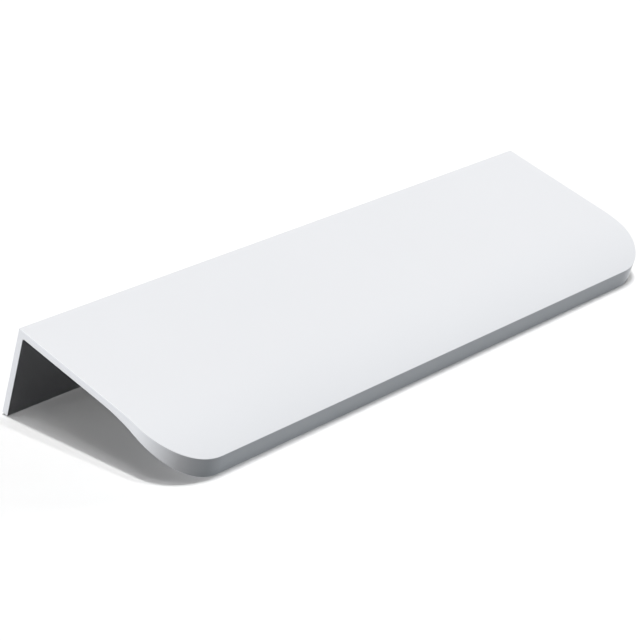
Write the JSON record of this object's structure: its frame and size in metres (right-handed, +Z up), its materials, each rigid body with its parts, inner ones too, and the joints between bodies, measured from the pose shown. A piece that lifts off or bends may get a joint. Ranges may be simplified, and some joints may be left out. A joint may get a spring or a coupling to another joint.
{
  "type": "furniture edge pull handle",
  "caption": "White L-section edge pull for a drawer or door: flat plate, thick rolled nose with round corners, rear leg with screw holes.",
  "frame": {"origin": "on the floor, under the centre of the handle's box as it lies unheld on the foot of its leg and the lower edge of its nose", "axes": "+X along the handle, -Y the way the nose points, +Z up from the floor; the plate slopes down 15.8 degrees towards the nose"},
  "size_m": [0.15, 0.0464, 0.0191],
  "materials": {
    "white_coat": "satin white powder coat over extruded aluminium"
  },
  "bodies": {
    "root": {"handle_profile": "white_coat"}
  },
  "joints": []
}
